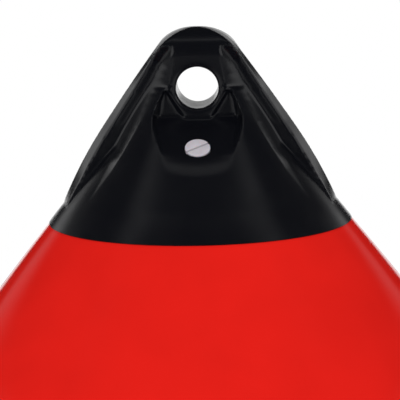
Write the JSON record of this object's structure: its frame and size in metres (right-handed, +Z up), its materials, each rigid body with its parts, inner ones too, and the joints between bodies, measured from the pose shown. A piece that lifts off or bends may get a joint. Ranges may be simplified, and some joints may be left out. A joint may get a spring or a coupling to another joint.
{
  "type": "inflatable round mooring buoy",
  "caption": "Inflatable round buoy: hollow red vinyl hull with a flared neck, black moulded rope eye with side webs, and a slotted screw-in air valve on its front.",
  "frame": {"origin": "centre of the waterline, on the buoy's axis, as it floats upright", "axes": "+Z up along the buoy's axis, -Y towards the front with the air valve, +X along the web"},
  "size_m": [0.369, 0.369, 0.4861],
  "materials": {
    "red_vinyl": "soft vinyl, blown, smooth and glossy",
    "black_vinyl": "vinyl, moulded, smooth and glossy",
    "black_rubber": "matt",
    "white_nylon": "moulded, satin"
  },
  "bodies": {
    "root": {"hull_skin": "red_vinyl", "rope_eye": "black_vinyl"},
    "washer": {"valve_washer": "black_rubber"},
    "plug": {"valve_plug": "white_nylon"}
  },
  "joints": [
    {"name": "valve_lift", "type": "slide", "parent": "root", "child": "washer", "axis": [0, -0.5373, 0.8434], "range_m": [0, 0.0144]},
    {"name": "valve_turn", "type": "hinge", "parent": "washer", "child": "plug", "pos_m": [0, -0.043, 0.34762], "axis": [0, -0.5373, 0.8434], "range_deg": [0, 2165]}
  ],
  "couplings": [
    {"joint": "valve_turn", "follows": "valve_lift", "rad_per_m": 2618}
  ]
}
